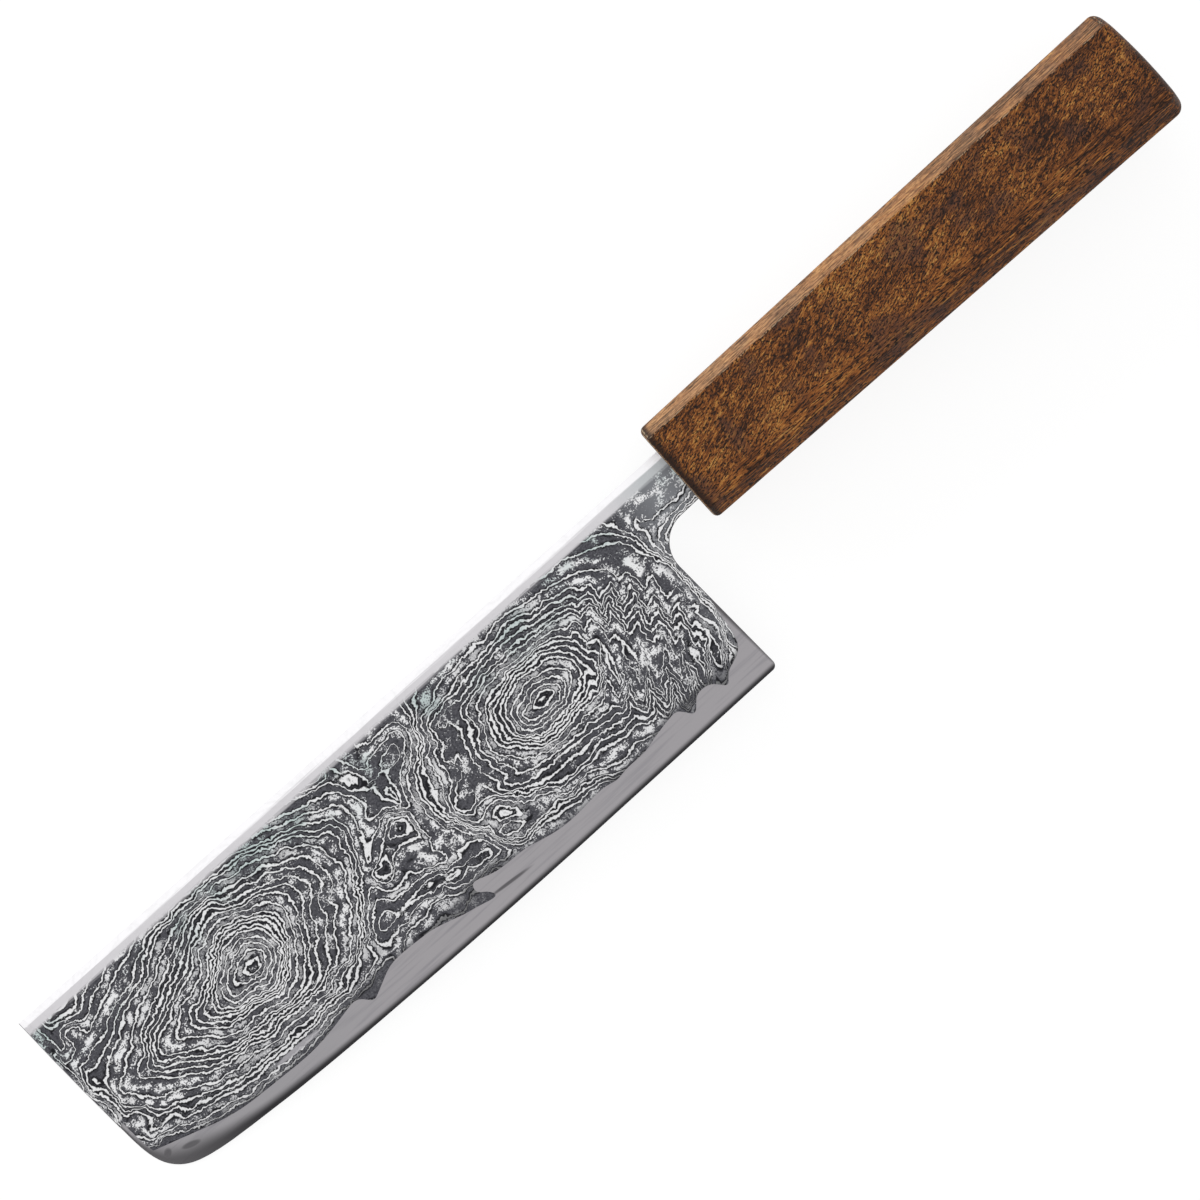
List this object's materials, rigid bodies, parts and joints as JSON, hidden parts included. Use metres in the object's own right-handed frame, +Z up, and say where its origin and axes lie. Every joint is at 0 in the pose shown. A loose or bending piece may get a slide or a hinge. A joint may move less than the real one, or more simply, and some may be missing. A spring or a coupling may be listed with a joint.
{
  "type": "nakiri knife",
  "caption": "Vegetable knife with a tall rectangular three-layer blade, patterned jackets, curved choil and an octagonal wooden handle.",
  "frame": {"origin": "middle of the footprint, on the surface that the knife lies on", "axes": "+X from the toe to the butt of the handle, level with the surface; +Y towards the spine; +Z up, out of the left face of the blade. The knife lies on its right side and dips about 3 degrees towards the toe."},
  "size_m": [0.3008, 0.0568, 0.0273],
  "materials": {
    "core_steel": "polished",
    "patterned_steel": "etched, layered pattern",
    "handle_wood": "oiled",
    "cured_adhesive": "satin"
  },
  "bodies": {
    "root": {"core_steel": "core_steel", "cladding_left": "patterned_steel", "cladding_right": "patterned_steel", "handle": "handle_wood", "tang_bedding": "cured_adhesive"}
  },
  "joints": []
}
